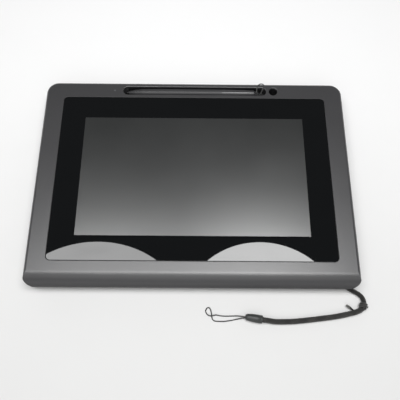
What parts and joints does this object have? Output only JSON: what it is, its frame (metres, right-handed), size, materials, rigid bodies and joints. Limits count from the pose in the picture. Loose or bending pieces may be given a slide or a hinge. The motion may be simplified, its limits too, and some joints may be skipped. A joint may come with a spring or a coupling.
{
  "type": "pen display tablet",
  "caption": "Flat pen display: charcoal case with a glossy cover glass, a pen lying in a tray along the upper edge, fold-out legs and a tethering cord with a string loop.",
  "frame": {"origin": "on the desk under the middle of the case, the cord left out", "axes": "+X to the right of the screen, +Y towards the pen tray, +Z out of the screen"},
  "size_m": [0.3211, 0.2457, 0.0286],
  "materials": {
    "case_plastic": "fine matt moulded grain, charcoal grey",
    "cover_plastic": "coarser matt moulded grain, dark grey",
    "cover_glass": "glossy, black printed border",
    "lcd_face": "anti-glare polariser, grey-green when off",
    "foam": "black foam",
    "sheet_steel": "plain sheet",
    "chassis_alloy": "pressed sheet",
    "screw_steel": "turned steel",
    "circuit_board": "solder resist",
    "chip_black": "moulded package",
    "ribbon_amber": "polyimide film",
    "switch_plastic": "plain moulded",
    "button_plastic": "satin moulded, black",
    "clear_plastic": "clear moulded",
    "tray_plastic": "matt black moulded",
    "insert_brass": "knurled insert",
    "foot_rubber": "matt rubber",
    "leg_plastic": "matt moulded grain",
    "pen_matte": "soft matt grip",
    "pen_gloss": "satin gloss barrel",
    "nib_plastic": "hard polymer nib",
    "coil_core": "wound coil on ferrite",
    "cord_braid": "braided cord, black",
    "string_grey": "thin twisted string, dark grey",
    "cap_plastic": "moulded end cap, grey"
  },
  "bodies": {
    "tablet": {"front_bezel": "case_plastic", "rear_cover": "cover_plastic", "cover_glass": "cover_glass", "glass_tape": "foam", "dust_gasket": "foam", "lcd_front_frame": "sheet_steel", "lcd_cell": "lcd_face", "backlight_guide": "clear_plastic", "lcd_rear_tray": "sheet_steel", "sensor_board": "circuit_board", "shield_sheet": "sheet_steel", "chassis": "chassis_alloy", "chassis_screws": "screw_steel", "main_board": "circuit_board", "board_chips": "chip_black", "board_screws": "screw_steel", "lcd_ribbon": "ribbon_amber", "sensor_ribbon": "ribbon_amber", "port_board": "circuit_board", "port_screws": "screw_steel", "port_ribbon": "ribbon_amber", "usb_socket": "sheet_steel", "power_switch": "switch_plastic", "power_led": "switch_plastic", "light_pipe": "clear_plastic", "lock_plate": "sheet_steel", "pen_tray": "tray_plastic", "pen_well": "tray_plastic", "cover_screws": "screw_steel", "vesa_inserts": "insert_brass", "rubber_feet": "foot_rubber", "leg_pins": "screw_steel", "tether_pin": "screw_steel", "tether_eye": "cap_plastic", "tether_cord": "cord_braid", "tether_knot": "cord_braid", "tether_cap": "cap_plastic", "tether_string": "string_grey"},
    "left_leg": {"leg_left": "leg_plastic", "leg_pad_left": "foot_rubber"},
    "right_leg": {"leg_right": "leg_plastic", "leg_pad_right": "foot_rubber"},
    "power_key": {"power_button": "button_plastic"},
    "pen": {"pen_grip": "pen_matte", "pen_barrel": "pen_gloss", "pen_tail": "pen_matte", "pen_core": "coil_core", "pen_loop": "string_grey"},
    "nib": {"pen_nib": "nib_plastic"},
    "side_switch": {"pen_switch": "button_plastic"}
  },
  "joints": [
    {"name": "left_leg_fold", "type": "hinge", "parent": "tablet", "child": "left_leg", "pos_m": [-0.095, 0.078, 0.0053], "axis": [1, 0, 0], "range_deg": [0, 100]},
    {"name": "right_leg_fold", "type": "hinge", "parent": "tablet", "child": "right_leg", "pos_m": [0.095, 0.078, 0.0053], "axis": [1, 0, 0], "range_deg": [0, 100]},
    {"name": "power_press", "type": "slide", "parent": "tablet", "child": "power_key", "axis": [0, -1, 0], "range_m": [0, 0.0008], "stiffness_N_per_m": 1500},
    {"name": "pen_lift", "type": "slide", "parent": "tablet", "child": "pen", "axis": [0, 0, 1], "range_m": [0, 0.06]},
    {"name": "nib_press", "type": "slide", "parent": "pen", "child": "nib", "axis": [1, 0, 0], "range_m": [0, 0.0006], "stiffness_N_per_m": 1000},
    {"name": "side_switch_press", "type": "slide", "parent": "pen", "child": "side_switch", "axis": [0, 0, 1], "range_m": [0, 0.0004], "stiffness_N_per_m": 1500}
  ]
}
